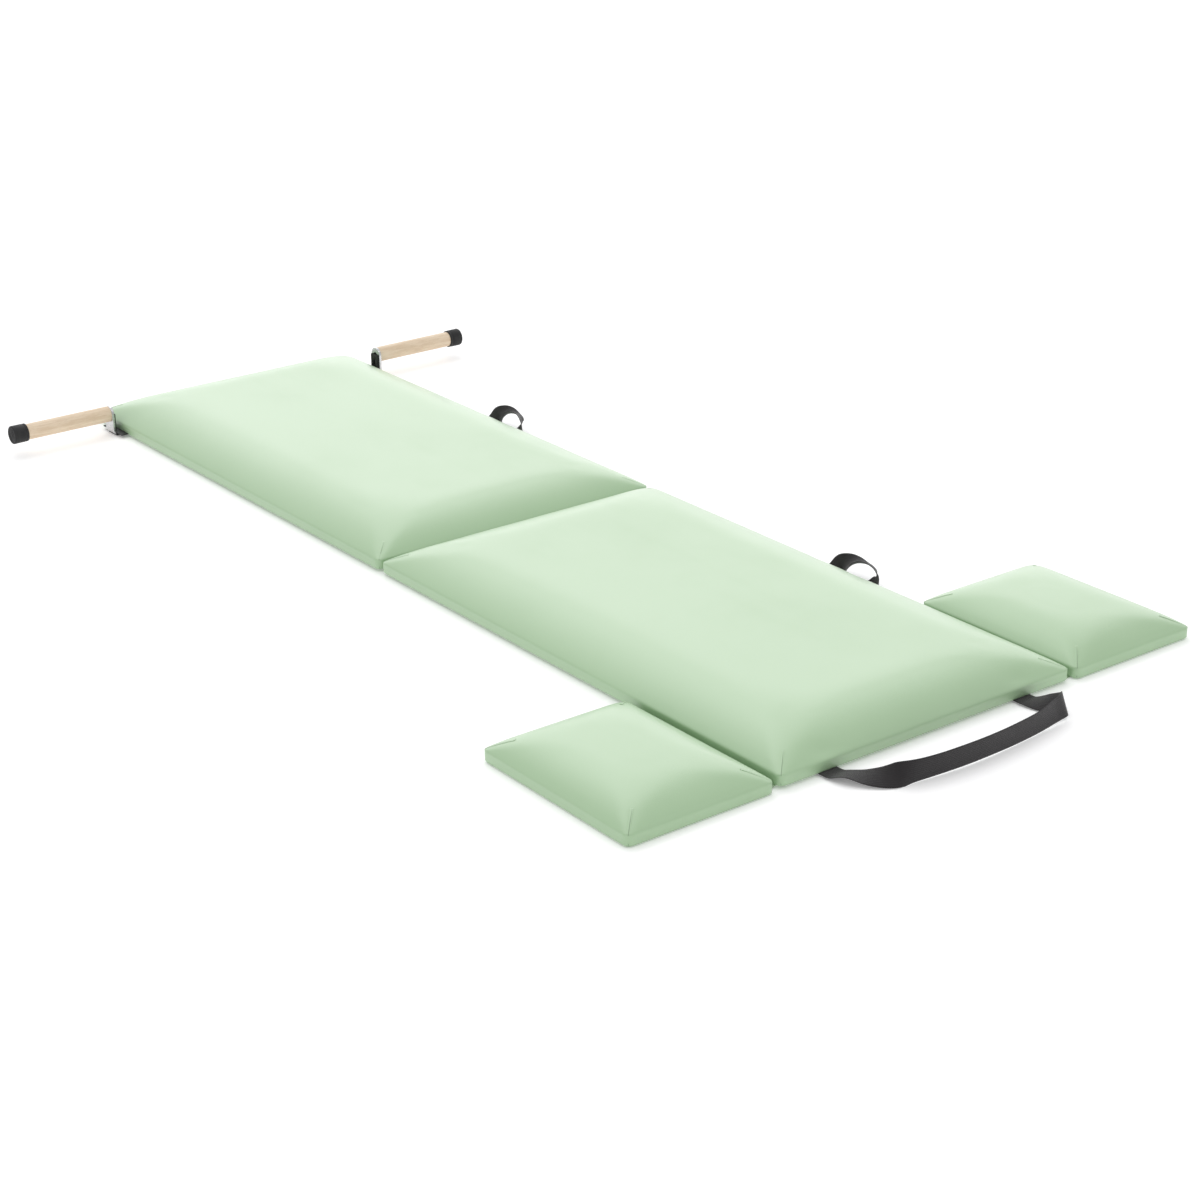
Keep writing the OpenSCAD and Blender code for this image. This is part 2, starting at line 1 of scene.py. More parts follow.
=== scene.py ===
import json
import math
import bpy
import numpy as np
from mathutils import Matrix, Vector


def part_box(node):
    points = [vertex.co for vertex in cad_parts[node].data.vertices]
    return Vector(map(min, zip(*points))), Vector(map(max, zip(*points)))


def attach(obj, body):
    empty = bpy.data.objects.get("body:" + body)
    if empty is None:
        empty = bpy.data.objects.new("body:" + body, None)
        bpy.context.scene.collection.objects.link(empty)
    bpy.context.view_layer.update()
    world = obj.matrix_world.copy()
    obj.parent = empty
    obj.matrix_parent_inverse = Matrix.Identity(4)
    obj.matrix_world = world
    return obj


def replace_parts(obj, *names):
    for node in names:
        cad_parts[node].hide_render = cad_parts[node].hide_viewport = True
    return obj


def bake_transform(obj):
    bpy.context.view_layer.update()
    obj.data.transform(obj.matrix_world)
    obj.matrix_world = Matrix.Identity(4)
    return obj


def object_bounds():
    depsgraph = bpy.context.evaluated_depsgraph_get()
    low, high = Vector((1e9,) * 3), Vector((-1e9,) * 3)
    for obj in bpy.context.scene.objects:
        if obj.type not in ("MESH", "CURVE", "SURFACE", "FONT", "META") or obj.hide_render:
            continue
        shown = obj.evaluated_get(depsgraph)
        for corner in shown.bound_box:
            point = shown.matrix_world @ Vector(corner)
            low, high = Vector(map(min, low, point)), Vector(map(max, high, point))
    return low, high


# Folding exercise mat: vinyl covers, webbing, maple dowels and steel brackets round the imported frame.
# Everything is in metres. The foot end is towards -Y and the carry loops are on the +X side.

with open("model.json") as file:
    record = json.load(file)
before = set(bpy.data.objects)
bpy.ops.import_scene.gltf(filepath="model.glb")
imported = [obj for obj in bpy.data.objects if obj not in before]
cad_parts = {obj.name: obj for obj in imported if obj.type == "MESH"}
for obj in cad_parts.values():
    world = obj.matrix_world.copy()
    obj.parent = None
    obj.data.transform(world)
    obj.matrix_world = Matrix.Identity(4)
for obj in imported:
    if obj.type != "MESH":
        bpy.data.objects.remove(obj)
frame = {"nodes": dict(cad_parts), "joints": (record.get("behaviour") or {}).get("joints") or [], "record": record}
cadLow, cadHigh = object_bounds()
scene = bpy.context.scene
joints = {joint["name"]: joint for joint in frame["joints"]}
foldY = joints["mat_fold"]["pos_m"][1]
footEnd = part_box("foot_cover")[0].y
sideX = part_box("foot_cover")[1].x
print("frame loaded, fold line at y =", round(foldY, 4))


# Puts points (an n by 3 array) and faces (rows of indices) into a new mesh object.
def meshPiece(name, points, faces, smooth=True):
    mesh = bpy.data.meshes.new(name)
    mesh.from_pydata(np.asarray(points, float).tolist(), [], [list(face) for face in faces])
    mesh.polygons.foreach_set("use_smooth", [smooth] * len(mesh.polygons))
    mesh.update()
    piece = bpy.data.objects.new(name, mesh)
    scene.collection.objects.link(piece)
    return piece


# Quads of a rows by columns grid, wrapped round along the columns if asked.
def gridQuads(rows, columns, wrapped=False):
    r = np.arange(rows - 1)[:, None]
    c = np.arange(columns if wrapped else columns - 1)[None, :]
    across = (c + 1) % columns
    quads = np.stack([r * columns + c, r * columns + across,
                      (r + 1) * columns + across, (r + 1) * columns + c], -1)
    return quads.reshape(-1, 4).tolist()


# Turns the normals of a closed piece outwards.
def faceOutwards(piece):
    bpy.ops.object.select_all(action="DESELECT")
    bpy.context.view_layer.objects.active = piece
    piece.select_set(True)
    bpy.ops.object.mode_set(mode="EDIT")
    bpy.ops.mesh.select_all(action="SELECT")
    bpy.ops.mesh.normals_make_consistent(inside=False)
    bpy.ops.object.mode_set(mode="OBJECT")
    return piece


# Closed loops of equal length, joined loop to loop and capped at both ends.
def loopedPiece(name, loops):
    count, size = loops.shape[:2]
    last = (count - 1) * size
    caps = [list(range(size)), [last + k for k in reversed(range(size))]]
    return faceOutwards(meshPiece(name, loops.reshape(-1, 3), gridQuads(count, size, True) + caps))


# Surface of revolution about a line along X: each (x, radius) row of the profile becomes a circle,
# (x, axisY + radius times cosine, axisZ + radius times sine of the angle).
def turnedPiece(name, profile, axisY, axisZ, spokes=72):
    x, radius = np.array(profile, float).T[:, :, None]
    angle = np.linspace(0, 2 * math.pi, spokes, endpoint=False)
    y = axisY + radius * np.cos(angle)
    z = axisZ + radius * np.sin(angle)
    return loopedPiece(name, np.stack([x + 0 * y, y, z], -1))


# Gives a thin sheet its thickness: offset 0 grows it both ways, -1 inwards only.
def thicken(piece, thickness, offset):
    ply = piece.modifiers.new("ply", "SOLIDIFY")
    ply.thickness = thickness
    ply.offset = offset


def softenEdges(piece, width):
    bevel = piece.modifiers.new("edges", "BEVEL")
    bevel.width = width
    bevel.segments = 2
    bevel.limit_method = "ANGLE"


# Smooth unevenness: the mean of three sine waves of the position, between -1 and 1.
def unevenness(points, wavelength, phase=0.0):
    directions = np.array([[1, 0.31, 0.17], [-0.47, 0.9, 0.23], [0.63, -0.71, 0.41]])
    waves = np.sin(points @ directions.T * 2 * math.pi / wavelength + phase + np.array([0, 2.1, 4.2]))
    return waves.mean(-1)


# Links a node's output into the socket, or sets the socket to a plain value.
def wire(tree, socket, value):
    if isinstance(value, bpy.types.NodeSocket):
        tree.links.new(value, socket)
    else:
        socket.default_value = value


def node(tree, kind, inputs=None, **settings):
    made = tree.nodes.new(kind)
    for key, value in settings.items():
        setattr(made, key, value)
    for key, value in (inputs or {}).items():
        wire(tree, made.inputs[key], value)
    return made


def maths(tree, operation, first, second=0.0, clamp=False):
    made = node(tree, "ShaderNodeMath", {0: first, 1: second}, operation=operation, use_clamp=clamp)
    return made.outputs[0]


def times(tree, first, second):
    return maths(tree, "MULTIPLY", first, second)


# Value carried smoothly from low at start to high at end.
def ramped(tree, value, start, end, low=0.0, high=1.0):
    inputs = {"Value": value, "From Min": start, "From Max": end, "To Min": low, "To Max": high}
    return node(tree, "ShaderNodeMapRange", inputs, interpolation_type="SMOOTHSTEP").outputs["Result"]


def mixed(tree, share, first, second):
    mix = node(tree, "ShaderNodeMix", {0: share, 6: first, 7: second}, data_type="RGBA")
    return mix.outputs[2]


def noise(tree, vector, scale, detail=2.0, roughness=0.5):
    inputs = {"Vector": vector, "Scale": scale, "Detail": detail, "Roughness": roughness}
    return node(tree, "ShaderNodeTexNoise", inputs).outputs["Fac"]


def scaled(tree, vector, sizes):
    return node(tree, "ShaderNodeMapping", {"Vector": vector, "Scale": sizes}).outputs["Vector"]


# An empty node group with its sockets: inputs are (label, kind, value), outputs are (label, kind).
def newGroup(name, inputs, outputs):
    tree = bpy.data.node_groups.new(name, "ShaderNodeTree")
    for label, kind, value in inputs:
        socket = tree.interface.new_socket(label, in_out="INPUT", socket_type=kind)
        if value is not None:
            socket.default_value = value
    for label, kind in outputs:
        tree.interface.new_socket(label, in_out="OUTPUT", socket_type=kind)
    return tree, node(tree, "NodeGroupInput").outputs, node(tree, "NodeGroupOutput").inputs


def placed(tree, group, inputs):
    made = tree.nodes.new("ShaderNodeGroup")
    made.node_tree = group
    for key, value in inputs.items():
        wire(tree, made.inputs[key], value)
    return made.outputs


floatKind, vectorKind = "NodeSocketFloat", "NodeSocketVector"


# Pebbled grain of embossed vinyl and moulded rubber: cell borders softened by noise.
def makePebbleGroup():
    tree, given, out = newGroup("pebbleGrain", [
        ("Vector", vectorKind, None), ("Grains per metre", floatKind, 900.0)],
        [("Height", floatKind), ("Tone", floatKind)])
    spacing = {"Vector": given["Vector"], "Scale": given["Grains per metre"]}
    cells = node(tree, "ShaderNodeTexVoronoi", spacing, feature="DISTANCE_TO_EDGE").outputs["Distance"]
    pebbles = ramped(tree, cells, 0.02, 0.32)
    fine = noise(tree, given["Vector"], times(tree, given["Grains per metre"], 1.9), 3.0)
    height = maths(tree, "ADD", times(tree, pebbles, 0.75), times(tree, fine, 0.5))
    wire(tree, out["Height"], height)
    wire(tree, out["Tone"], times(tree, pebbles, fine))
    return tree


# Patches of handling wear and faint dust: soft blotches, and a streakier layer inside them.
def makeWearGroup():
    tree, given, out = newGroup("handlingWear", [
        ("Vector", vectorKind, None), ("Patch size", floatKind, 0.2), ("Cover", floatKind, 0.4)],
        [("Patches", floatKind), ("Streaks", floatKind)])
    spread = maths(tree, "DIVIDE", 1.0, given["Patch size"])
    blotches = noise(tree, given["Vector"], spread, 4.0, 0.6)
    edge = maths(tree, "SUBTRACT", 1.0, given["Cover"])
    patches = maths(tree, "SUBTRACT", blotches, times(tree, edge, 0.8))
    wire(tree, out["Patches"], maths(tree, "MULTIPLY", patches, 3.0, clamp=True))
    stretched = scaled(tree, given["Vector"], (1.0, 0.12, 1.0))
    streaky = noise(tree, stretched, times(tree, spread, 9.0), 3.0)
    wire(tree, out["Streaks"], ramped(tree, streaky, 0.45, 0.75))
    return tree


# Rubbed edges: where the surface turns sharply, broken up by noise.
def makeEdgeGroup():
    tree, given, out = newGroup("rubbedEdges", [
        ("Vector", vectorKind, None), ("Sharpness", floatKind, 0.56)], [("Rubbed", floatKind)])
    turn = node(tree, "ShaderNodeNewGeometry").outputs["Pointiness"]
    edges = ramped(tree, turn, 0.51, given["Sharpness"])
    broken = ramped(tree, noise(tree, given["Vector"], 140.0, 4.0), 0.35, 0.65)
    wire(tree, out["Rubbed"], times(tree, edges, broken))
    return tree


# Woven webbing: raised warp ribs along the strip, each crossed by picks that alternate from rib to rib.
def makeWeaveGroup():
    tree, given, out = newGroup("webbingWeave", [
        ("Vector", vectorKind, None), ("Rib pitch", floatKind, 0.0016), ("Pick pitch", floatKind, 0.0014)],
        [("Height", floatKind), ("Tone", floatKind)])
    parts = node(tree, "ShaderNodeSeparateXYZ", {"Vector": given["Vector"]}).outputs
    rib = maths(tree, "DIVIDE", parts["X"], given["Rib pitch"])
    pick = maths(tree, "DIVIDE", parts["Y"], given["Pick pitch"])
    shift = times(tree, maths(tree, "FLOOR", rib), 0.5)
    pick = maths(tree, "ADD", pick, shift)
    ribWave = maths(tree, "ABSOLUTE", maths(tree, "SINE", times(tree, rib, math.pi)))
    pickWave = maths(tree, "ABSOLUTE", maths(tree, "SINE", times(tree, pick, math.pi)))
    height = maths(tree, "ADD", times(tree, ribWave, 0.7), times(tree, pickWave, 0.5))
    wire(tree, out["Height"], height)
    wire(tree, out["Tone"], times(tree, height, 0.8))
    return tree


# Wood figure: growth lines stretched along the grain, with fine pores.
def makeWoodGroup():
    tree, given, out = newGroup("woodFigure", [
        ("Vector", vectorKind, None), ("Line spacing", floatKind, 0.006)],
        [("Lines", floatKind), ("Pores", floatKind)])
    sway = noise(tree, given["Vector"], 9.0, 2.0)
    offset = node(tree, "ShaderNodeCombineXYZ", {"Y": times(tree, sway, 0.012)}).outputs[0]
    bent = node(tree, "ShaderNodeVectorMath", {0: given["Vector"], 1: offset}, operation="ADD").outputs[0]
    spread = maths(tree, "DIVIDE", 1.0, given["Line spacing"])
    lines = noise(tree, bent, spread, 4.0, 0.62)
    wire(tree, out["Lines"], ramped(tree, lines, 0.32, 0.68))
    pores = noise(tree, bent, times(tree, spread, 7.0), 2.0)
    wire(tree, out["Pores"], ramped(tree, pores, 0.56, 0.72))
    return tree


pebbleGrain = makePebbleGroup()
handlingWear = makeWearGroup()
rubbedEdges = makeEdgeGroup()
webbingWeave = makeWeaveGroup()
woodFigure = makeWoodGroup()


# A material with its Principled shader; the fixed values are the shader's own.
def newMaterial(name, **fixed):
    material = bpy.data.materials.new(name)
    material.use_nodes = True
    tree = material.node_tree
    shader = tree.nodes["Principled BSDF"]
    for label, value in fixed.items():
        shader.inputs[label.replace("_", " ")].default_value = value
    objectPlace = node(tree, "ShaderNodeTexCoord").outputs["Object"]
    return material, tree, shader, objectPlace


def addBump(tree, shader, height, distance):
    bump = node(tree, "ShaderNodeBump", {"Height": height, "Distance": distance, "Strength": 1.0})
    wire(tree, shader.inputs["Normal"], bump.outputs["Normal"])


vinyl = {"pale": (0.372, 0.545, 0.330, 1), "deep": (0.340, 0.510, 0.298, 1), "paintedCreaseShade": (0.17, 0.27, 0.15, 1),
         "roughLow": 0.36, "roughHigh": 0.46, "grains": 820.0, "grainDepth": 0.00006}


# Pale green vinyl under a soft clear coat; the corner folds' "pleat" values darken it to a painted shade tone,
# standing in for the shadow on each fold's wall.
def makeVinyl():
    material, tree, shader, place = newMaterial("matVinyl", Specular_IOR_Level=0.55, Coat_Weight=0.7,
                                                Coat_Roughness=0.33)
    grain = placed(tree, pebbleGrain, {"Vector": place, "Grains per metre": vinyl["grains"]})
    wear = placed(tree, handlingWear, {"Vector": place, "Patch size": 0.35, "Cover": 0.45})
    tone = mixed(tree, times(tree, wear["Patches"], 0.5), vinyl["pale"], vinyl["deep"])
    tone = mixed(tree, times(tree, grain["Tone"], 0.12), tone, vinyl["deep"])
    # Painted shade: the "pleat" values mix in the dark tone where the fold's wall would be in shadow.
    pleat = node(tree, "ShaderNodeAttribute", attribute_name="pleat").outputs["Fac"]
    wire(tree, shader.inputs["Base Color"], mixed(tree, pleat, tone, vinyl["paintedCreaseShade"]))
    rubbed = maths(tree, "ADD", wear["Patches"], times(tree, wear["Streaks"], 0.4))
    rough = ramped(tree, rubbed, 0.0, 1.4, vinyl["roughLow"], vinyl["roughHigh"])
    wire(tree, shader.inputs["Roughness"], rough)
    addBump(tree, shader, grain["Height"], vinyl["grainDepth"])
    return material


webbing = {"thread": (0.0100, 0.0085, 0.0096, 1), "worn": (0.024, 0.021, 0.023, 1),
           "ribPitch": 0.0016, "pickPitch": 0.0015, "threadDepth": 0.00022}


# Black polypropylene webbing, its weave laid along each strip's own "strip" map, in metres.
def makeWebbing():
    material, tree, shader, place = newMaterial("wovenWebbing", Specular_IOR_Level=0.3, Sheen_Weight=0.25,
                                                Sheen_Roughness=0.5)
    strip = node(tree, "ShaderNodeUVMap", uv_map="strip").outputs["UV"]
    weave = placed(tree, webbingWeave, {"Vector": strip, "Rib pitch": webbing["ribPitch"],
                                        "Pick pitch": webbing["pickPitch"]})
    wear = placed(tree, handlingWear, {"Vector": place, "Patch size": 0.05, "Cover": 0.4})
    worn = maths(tree, "ADD", 0.45, times(tree, wear["Patches"], 0.5))
    share = maths(tree, "MULTIPLY", weave["Tone"], worn, clamp=True)
    wire(tree, shader.inputs["Base Color"], mixed(tree, share, webbing["thread"], webbing["worn"]))
    wire(tree, shader.inputs["Roughness"], ramped(tree, weave["Tone"], 0.0, 1.0, 0.85, 0.6))
    addBump(tree, shader, weave["Height"], webbing["threadDepth"])
    return material


mapleWood = {"pale": (0.80, 0.66, 0.50, 1), "line": (0.64, 0.47, 0.31, 1), "pore": (0.50, 0.34, 0.20, 1)}


# Oiled maple turned into a dowel, its grain along X.
def makeMaple():
    material, tree, shader, place = newMaterial("oiledMaple", Specular_IOR_Level=0.4)
    along = scaled(tree, place, (0.09, 1.0, 1.0))
    figure = placed(tree, woodFigure, {"Vector": along, "Line spacing": 0.0052})
    wear = placed(tree, handlingWear, {"Vector": place, "Patch size": 0.06, "Cover": 0.4})
    tone = mixed(tree, times(tree, figure["Lines"], 0.62), mapleWood["pale"], mapleWood["line"])
    tone = mixed(tree, times(tree, figure["Pores"], 0.3), tone, mapleWood["pore"])
    wire(tree, shader.inputs["Base Color"], tone)
    wire(tree, shader.inputs["Roughness"], ramped(tree, wear["Patches"], 0.0, 1.0, 0.52, 0.4))
    addBump(tree, shader, maths(tree, "SUBTRACT", 1.0, figure["Pores"]), 0.00005)
    return material


plywood = {"pale": (0.62, 0.45, 0.27, 1), "line": (0.42, 0.28, 0.15, 1)}


# Raw birch plywood, grain along Y, plies close together up its edges.
def makePlywood():
    material, tree, shader, place = newMaterial("birchPlywood", Specular_IOR_Level=0.3)
    along = scaled(tree, place, (1.0, 0.08, 3.0))
    figure = placed(tree, woodFigure, {"Vector": along, "Line spacing": 0.006})
    tone = mixed(tree, figure["Lines"], plywood["pale"], plywood["line"])
    tone = mixed(tree, times(tree, figure["Pores"], 0.4), tone, plywood["line"])
    wire(tree, shader.inputs["Base Color"], tone)
    wire(tree, shader.inputs["Roughness"], ramped(tree, figure["Pores"], 0.0, 1.0, 0.6, 0.8))
    addBump(tree, shader, figure["Lines"], 0.00006)
    return material


# Moulded rubber or powder coat: pebbled black with rubbed, dusty patches.
def makeBlack(name, base, dusty, grains, depth, rough):
    material, tree, shader, place = newMaterial(name, Metallic=0.0, Specular_IOR_Level=0.4)
    grain = placed(tree, pebbleGrain, {"Vector": place, "Grains per metre": grains})
    wear = placed(tree, handlingWear, {"Vector": place, "Patch size": 0.02, "Cover": 0.45})
    edges = placed(tree, rubbedEdges, {"Vector": place, "Sharpness": 0.6})
    share = maths(tree, "ADD", times(tree, wear["Patches"], 0.45),
                  times(tree, edges["Rubbed"], 0.5), clamp=True)
    wire(tree, shader.inputs["Base Color"], mixed(tree, share, base, dusty))
    wire(tree, shader.inputs["Roughness"], ramped(tree, share, 0.0, 1.0, rough, rough + 0.15))
    addBump(tree, shader, grain["Height"], depth)
    return material


brightSteel = (0.86, 0.86, 0.87, 1)


# Bare or plated steel: fine draw lines, wear patches and brighter rubbed edges.
def makeSteel(name, base, dull, rough, drawScale):
    material, tree, shader, place = newMaterial(name, Metallic=1.0)
    drawn = noise(tree, scaled(tree, place, drawScale), 900.0, 2.0)
    wear = placed(tree, handlingWear, {"Vector": place, "Patch size": 0.015, "Cover": 0.4})
    edges = placed(tree, rubbedEdges, {"Vector": place, "Sharpness": 0.58})
    tone = mixed(tree, times(tree, wear["Patches"], 0.6), base, dull)
    wire(tree, shader.inputs["Base Color"], mixed(tree, edges["Rubbed"], tone, brightSteel))
    scratched = maths(tree, "ADD", drawn, wear["Streaks"])
    wire(tree, shader.inputs["Roughness"], ramped(tree, scratched, 0.2, 1.6, rough, rough + 0.16))
    addBump(tree, shader, drawn, 0.00002)
    return material


# Black non-woven cloth with pale lint in patches.
def makeDustCloth():
    material, tree, shader, place = newMaterial("dustCloth", Specular_IOR_Level=0.2)
    fibres = noise(tree, place, 1400.0, 5.0, 0.7)
    lint = placed(tree, handlingWear, {"Vector": place, "Patch size": 0.12, "Cover": 0.4})
    linty = times(tree, lint["Patches"], fibres)
    tone = mixed(tree, linty, (0.018, 0.018, 0.019, 1), (0.05, 0.048, 0.047, 1))
    wire(tree, shader.inputs["Base Color"], tone)
    wire(tree, shader.inputs["Roughness"], ramped(tree, fibres, 0.3, 0.7, 0.85, 1.0))
    addBump(tree, shader, fibres, 0.0001)
    return material


finishes = {
    "vinyl": makeVinyl(),
    "webbing": makeWebbing(),
    "maple": makeMaple(),
    "plywood": makePlywood(),
    "rubber": makeBlack("mouldedRubber", base=(0.0125, 0.0125, 0.0135, 1), dusty=(0.040, 0.039, 0.038, 1),
                        grains=1500.0, depth=0.00005, rough=0.62),
    "receiver_black": makeBlack("powderCoat", base=(0.014, 0.014, 0.015, 1), dusty=(0.032, 0.031, 0.031, 1),
                                grains=2200.0, depth=0.00004, rough=0.45),
    "bracket_steel": makeSteel("brushedBracket", base=(0.56, 0.56, 0.57, 1), dull=(0.42, 0.42, 0.43, 1),
                               rough=0.24, drawScale=(1.0, 1.0, 0.05)),
    "plate_steel": makeSteel("zincPlate", base=(0.60, 0.60, 0.61, 1), dull=(0.45, 0.46, 0.47, 1),
                             rough=0.34, drawScale=(1.0, 0.1, 1.0)),
    "fastener_steel": makeSteel("zincScrew", base=(0.62, 0.61, 0.57, 1), dull=(0.44, 0.44, 0.42, 1),
                                rough=0.3, drawScale=(1.0, 1.0, 0.2)),
    "dust_cloth": makeDustCloth(),
}
print("materials ready:", len(finishes))


# Gives a piece the finish of its slot.
def dress(piece, slotName):
    piece.data.materials.clear()
    piece.data.materials.append(finishes[slotName])
    return piece


# Slopes are how far in from the edge the crown reaches its full height. The foam starts lower by startLower
# and then rises by a share of it between leastRise and mostRise.
cover = {"cell": 0.0090, "cornerRadius": 0.012, "bandHeight": 0.019, "power": 2.4, "growth": 0.75,
         "panelSlope": 0.130, "wingSlope": 0.095, "foamHeight": 0.04, "turnUnder": 0.0295, "lining": 0.0008,
         "startLower": 0.0028, "leastRise": 0.85, "mostRise": 1.0, "pressure": 4.0, "frames": 20,
         "unevenness": 0.00022, "wave": 0.19,
         "dimpleDepth": 0.0030, "dimpleReach": 0.016, "dimpleAbove": 0.012, "dimpleHeight": 0.007}


# Share of the full crown at (x, y) on a rounded rectangle: the outline moves in by d while its corner radius
# grows by 0.75 d; d is found by halving, and the share is one minus (1 - d / slope) to the power 2.4.
def crownShare(x, y, halfW, halfL, slope):
    a, b = halfW - abs(x), halfL - abs(y)
    low, high = np.zeros_like(a), np.clip(np.minimum(a, b), 0, slope)
    for _ in range(24):
        d = (low + high) / 2
        radius = cover["cornerRadius"] + cover["growth"] * d
        u, v = radius - (a - d), radius - (b - d)
        inside = (u <= 0) | (v <= 0) | (u * u + v * v <= radius * radius)
        low, high = np.where(inside, d, low), np.where(inside, high, d)
    return 1 - (1 - low / slope) ** cover["power"]


# Grid lines across one side: close together at the corners, then evenly spaced.
def gridLines(half):
    edge = np.array([0, 0.25, 0.5, 0.75, 1.0, 1.4]) * cover["cornerRadius"]
    middle = np.linspace(edge[-1] - half, half - edge[-1], int(2 * half / cover["cell"]))
    return np.concatenate([edge[:-1] - half, middle, half - edge[-2::-1]])


# The cover as one closed sheet: a grid over the top, with its corner squares rounded by the square-to-disc
# rule, rings that carry its edge down the band and in under the board, and the same grid again as a lining
# under the board. A ring is the outline's core scaled, plus its radius; the turned-under rings are the
# outline scaled.
def coverSurface(low, high, slope):
    centre = (np.array(low) + np.array(high)) / 2
    halfW, halfL = (high[0] - low[0]) / 2, (high[1] - low[1]) / 2
    half = np.array([halfW, halfL])
    r, bandH = cover["cornerRadius"], cover["bandHeight"]
    x, y = np.meshgrid(gridLines(halfW), gridLines(halfL))
    u = np.clip((abs(x) - halfW + r) / r, 0, 1)
    v = np.clip((abs(y) - halfL + r) / r, 0, 1)
    x = np.sign(x) * (np.minimum(abs(x), halfW - r) + r * u * np.sqrt(1 - v * v / 2))
    y = np.sign(y) * (np.minimum(abs(y), halfL - r) + r * v * np.sqrt(1 - u * u / 2))
    crown = high[2] - low[2] - bandH - cover["startLower"]
    top = np.stack([x, y, bandH + crown * crownShare(x, y, halfW, halfL, slope)], -1)
    rows, columns = x.shape
    index = np.arange(rows * columns).reshape(rows, columns)
    border = np.concatenate([index[0], index[1:, -1], index[-1, -2::-1], index[-2:0:-1, 0]])
    rim = top.reshape(-1, 3)[border, :2]
    core = np.clip(rim, r - half, half - r)
    out = (rim - core) / np.linalg.norm(rim - core, axis=1)[:, None]
    flat = np.ones(len(core))
    rings = []
    for inset, z in ((-0.0004, bandH - 0.0025), (-0.0005, bandH * 0.62), (-0.0003, bandH * 0.35),
                     (0, 0.0042), (0.0003, 0.0014), (0.0016, 0.0), (0.004, 0.0)):
        radius = r - inset
        share = (half - inset - radius) / (half - r)
        rings.append(np.column_stack([core * share + out * radius, flat * z]))
    for inset in (0.012, cover["turnUnder"]):
        rings.append(np.column_stack([rim * (1 - inset / half), flat * 0]))
    liningInset = cover["turnUnder"] + 0.0002
    lining = np.stack([x * (1 - liningInset / halfW), y * (1 - liningInset / halfL),
                       0 * x + cover["lining"]], -1)
    points = np.concatenate([top.reshape(-1, 3), lining.reshape(-1, 3)] + rings)
    count, size = len(border), rows * columns
    ringIndices = [2 * size + k * count + np.arange(count) for k in range(len(rings))]
    starts = [border] + ringIndices + [border + size]
    faces = gridQuads(rows, columns)
    faces += (np.array(faces)[:, ::-1] + size).tolist()
    for upper, lower in zip(starts[:-1], starts[1:]):
        faces += np.stack([upper, lower, np.roll(lower, -1), np.roll(upper, -1)], -1).tolist()
    points[:, :2] += centre[:2]
    points[:, 2] += low[2]
    return points, faces, size


# How far the foam presses a point out: nothing along the band, the whole startLower on the crown.
def foamRise(points, low):
    aboveBand = points[:, 2] - low - cover["bandHeight"]
    return cover["startLower"] * np.clip(aboveBand / cover["foamHeight"], 0, 1)


cloth = {"quality": 4, "mass": 0.35, "tension_stiffness": 25, "compression_stiffness": 25,
         "shear_stiffness": 12, "bending_stiffness": 2.5}


# Lets the foam press the vinyl out for a few frames, with the band and the underside held. Each point moves
# along its own normal, close to the foam's rise.
def puffUp(piece, freeCount, low):
    start = np.array([vertex.co for vertex in piece.data.vertices])
    normals = np.array([vertex.normal for vertex in piece.data.vertices])
    held = piece.vertex_groups.new(name="held")
    held.add(list(range(freeCount, len(start))), 1.0, "REPLACE")
    foam = piece.modifiers.new("foam pressure", "CLOTH")
    for key, value in cloth.items():
        setattr(foam.settings, key, value)
    foam.settings.use_pressure = True
    foam.settings.uniform_pressure_force = cover["pressure"]
    foam.settings.vertex_group_mass = "held"
    foam.settings.effector_weights.gravity = 0
    foam.point_cache.frame_end = cover["frames"]
    for frameNumber in range(1, cover["frames"] + 1):
        scene.frame_set(frameNumber)
    shown = piece.evaluated_get(bpy.context.evaluated_depsgraph_get())
    moved = np.array([vertex.co for vertex in shown.data.vertices]) - start
    piece.modifiers.remove(foam)
    piece.vertex_groups.remove(held)
    scene.frame_set(1)
    outward = (moved * normals).sum(1)
    print("  ", piece.name, "pressed out by up to", round(float(outward.max()) * 1000, 1), "mm")
    rise = foamRise(start, low)
    rise[freeCount:] = 0
    outward = np.clip(outward, rise * cover["leastRise"], rise * cover["mostRise"])
    return start + normals * outward[:, None]


# Where webbing is clamped under an edge, the vinyl above it is drawn down a little: a bell curve of the
# distance from the root, times a bell curve of the height above the band.
def drawIn(points, places, low):
    level = low + cover["bandHeight"] + cover["dimpleAbove"]
    for x, y in places:
        distance = (points[:, 0] - x) ** 2 + (points[:, 1] - y) ** 2
        reach = np.exp(-distance / (2 * cover["dimpleReach"] ** 2))
        height = np.exp(-((points[:, 2] - level) / cover["dimpleHeight"]) ** 2)
        points[:, 2] -= cover["dimpleDepth"] * reach * height
    return points


# A panel's or wing's padded cover; drawn lists the (x, y) places where webbing is clamped under its edge.
def makeCover(name, side, slope, body, drawn=()):
    low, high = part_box(side + "_cover")
    points, faces, free = coverSurface(low, high, slope)
    piece = meshPiece(name, points, faces)
    points = puffUp(piece, free, low.z)
    above = np.clip((points[:, 2] - low.z - 0.004) / 0.012, 0, 1)
    points[:, 2] += above * cover["unevenness"] * unevenness(points, cover["wave"], slope * 40)
    points = drawIn(points, drawn, low.z)
    piece.data.vertices.foreach_set("co", points.astype(np.float32).ravel())
    piece.data.update()
    smoother = piece.modifiers.new("smooth", "SUBSURF")
    smoother.levels = smoother.render_levels = 1
    dress(piece, "vinyl")
    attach(piece, body)
    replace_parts(piece, side + "_cover", side + "_pad")
    return piece


